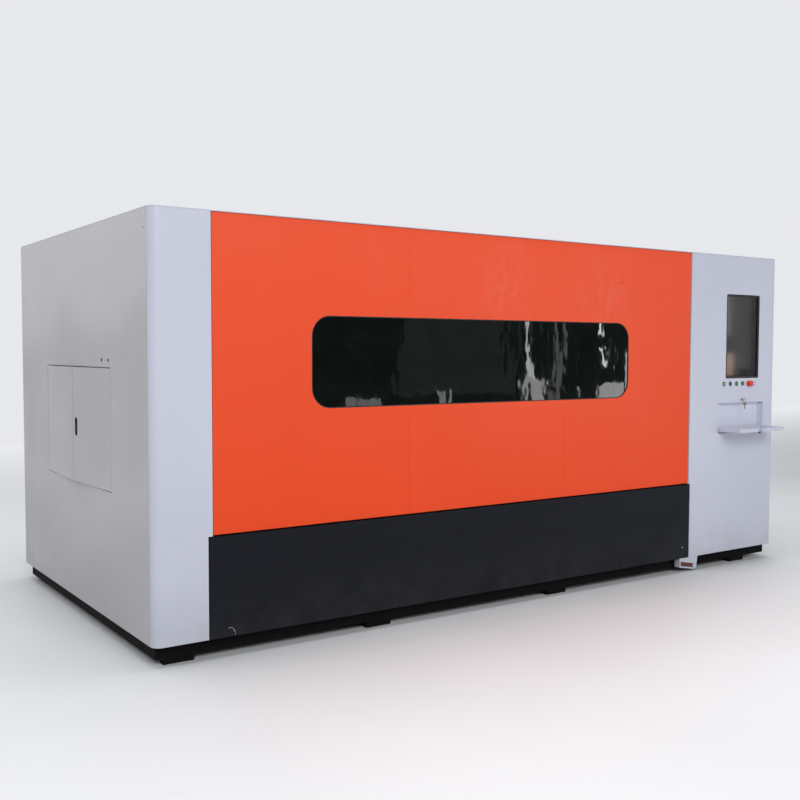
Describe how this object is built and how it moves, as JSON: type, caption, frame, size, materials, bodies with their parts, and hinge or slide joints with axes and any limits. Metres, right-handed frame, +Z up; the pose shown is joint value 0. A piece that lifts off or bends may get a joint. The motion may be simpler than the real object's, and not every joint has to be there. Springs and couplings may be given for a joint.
{
  "type": "fiber laser cutting machine",
  "caption": "Enclosed sheet-metal laser cutting machine with gantry, slat pallet, viewing window, end hatch, control column and fold-up keyboard flap.",
  "frame": {"origin": "middle of the machine's footprint on the floor, the open flap and the ajar hatch counted in", "axes": "+X along the machine from the hatch end to the control column, +Y from the front to the rear, +Z up"},
  "size_m": [4.6784, 2.486, 2.15],
  "materials": {
    "white_coat": "satin powder coat",
    "orange_coat": "satin powder coat",
    "charcoal_coat": "satin powder coat",
    "black_steel": "matte",
    "bed_paint": "semi gloss",
    "bright_steel": "ground",
    "milled_aluminium": "milled",
    "chrome": "polished",
    "seal_rubber": "matte",
    "laser_glass": "polished",
    "black_plastic": "fine grain",
    "display_glass": "gloss",
    "green_lens": "gloss",
    "red_plastic": "satin",
    "amber_plastic": "satin",
    "dark_red_plastic": "matte"
  },
  "bodies": {
    "frame": {"left_column": "white_coat", "right_column": "white_coat", "left_end_wall": "white_coat", "right_end_wall": "white_coat", "roof_panel_1": "white_coat", "roof_panel_2": "white_coat", "roof_panel_3": "white_coat", "rear_wall": "white_coat", "socket_plate": "white_coat", "keyboard_recess": "white_coat", "cable_trough": "white_coat", "front_panel": "orange_coat", "front_skirt": "charcoal_coat", "front_sill": "black_steel", "rear_sill": "black_steel", "left_cross_sill": "black_steel", "middle_cross_sill": "black_steel", "right_cross_sill": "black_steel", "front_bed_beam": "bed_paint", "rear_bed_beam": "bed_paint", "bed_left_member": "bed_paint", "bed_right_member": "bed_paint", "electric_cabinet": "bed_paint", "laser_source": "bed_paint", "front_rail": "bright_steel", "rear_rail": "bright_steel", "door_front_guide": "bright_steel", "door_rear_guide": "bright_steel", "button_1_bezel": "chrome", "button_2_bezel": "chrome", "button_3_bezel": "chrome", "button_4_bezel": "chrome", "lock_barrel": "chrome", "window_seal": "seal_rubber", "window_glass": "laser_glass", "display_bezel": "black_plastic", "display_screen": "display_glass", "stop_base": "amber_plastic", "trough_block": "dark_red_plastic"},
    "gantry": {"gantry_beam": "bed_paint"},
    "carriage": {"carriage": "milled_aluminium"},
    "head": {"z_slide": "milled_aluminium", "cutting_head": "chrome"},
    "pallet": {"slat_pallet": "bright_steel"},
    "lift_door": {"lift_door": "white_coat"},
    "hatch_front": {"hatch_front_leaf": "white_coat"},
    "hatch_rear": {"hatch_rear_leaf": "white_coat"},
    "service_left": {"service_door_left": "white_coat"},
    "service_right": {"service_door_right": "white_coat"},
    "flap": {"keyboard_flap": "white_coat"},
    "latch": {"flap_latch": "black_plastic"},
    "lock_core": {"lock_plug": "black_plastic", "lock_key": "chrome"},
    "button_1": {"button_1_cap": "green_lens"},
    "button_2": {"button_2_cap": "green_lens"},
    "button_3": {"button_3_cap": "green_lens"},
    "button_4": {"button_4_cap": "green_lens"},
    "stop_plunger": {"stop_plunger": "black_plastic"},
    "stop_mushroom": {"stop_mushroom": "red_plastic"}
  },
  "joints": [
    {"name": "gantry_travel", "type": "slide", "parent": "frame", "child": "gantry", "axis": [1, 0, 0], "range_m": [0, 3]},
    {"name": "carriage_travel", "type": "slide", "parent": "gantry", "child": "carriage", "axis": [0, 1, 0], "range_m": [0, 1.46]},
    {"name": "head_lower", "type": "slide", "parent": "carriage", "child": "head", "axis": [0, 0, -1], "range_m": [0, 0.12]},
    {"name": "pallet_shuttle", "type": "slide", "parent": "frame", "child": "pallet", "axis": [1, 0, 0], "range_m": [0, 2.9]},
    {"name": "lift_door_rise", "type": "slide", "parent": "frame", "child": "lift_door", "axis": [0, 0, 1], "range_m": [0, 0.42]},
    {"name": "hatch_front_swing", "type": "hinge", "parent": "frame", "child": "hatch_front", "pos_m": [-2.30878, -0.481, 1.08], "axis": [0, 0, 1], "range_deg": [-2.3, 107.7]},
    {"name": "hatch_rear_swing", "type": "hinge", "parent": "frame", "child": "hatch_rear", "pos_m": [-2.30878, 0.642, 1.08], "axis": [0, 0, -1], "range_deg": [-2.3, 107.7]},
    {"name": "service_left_swing", "type": "hinge", "parent": "frame", "child": "service_left", "pos_m": [-0.95078, 1.235, 1.05], "axis": [0, 0, 1], "range_deg": [0, 110]},
    {"name": "service_right_swing", "type": "hinge", "parent": "frame", "child": "service_right", "pos_m": [0.51722, 1.235, 1.05], "axis": [0, 0, -1], "range_deg": [0, 110]},
    {"name": "flap_fold", "type": "hinge", "parent": "frame", "child": "flap", "pos_m": [1.95922, -1.059, 0.9475], "axis": [-1, 0, 0], "range_deg": [0, 90]},
    {"name": "latch_turn", "type": "hinge", "parent": "flap", "child": "latch", "pos_m": [1.95922, -1.221, 0.9395], "axis": [0, 0, -1], "range_deg": [0, 90]},
    {"name": "key_turn", "type": "hinge", "parent": "frame", "child": "lock_core", "pos_m": [1.96422, -1.067, 1.155], "axis": [0, 1, 0], "range_deg": [0, 90]},
    {"name": "button_1_press", "type": "slide", "parent": "frame", "child": "button_1", "axis": [0, 1, 0], "range_m": [0, 0.003], "stiffness_N_per_m": 700},
    {"name": "button_2_press", "type": "slide", "parent": "frame", "child": "button_2", "axis": [0, 1, 0], "range_m": [0, 0.003], "stiffness_N_per_m": 700},
    {"name": "button_3_press", "type": "slide", "parent": "frame", "child": "button_3", "axis": [0, 1, 0], "range_m": [0, 0.003], "stiffness_N_per_m": 700},
    {"name": "button_4_press", "type": "slide", "parent": "frame", "child": "button_4", "axis": [0, 1, 0], "range_m": [0, 0.003], "stiffness_N_per_m": 700},
    {"name": "stop_press", "type": "slide", "parent": "frame", "child": "stop_plunger", "axis": [0, 1, 0], "range_m": [0, 0.005], "stiffness_N_per_m": 1500},
    {"name": "stop_twist", "type": "hinge", "parent": "stop_plunger", "child": "stop_mushroom", "pos_m": [2.03322, -1.067, 1.266], "axis": [0, -1, 0], "range_deg": [0, 45]}
  ]
}
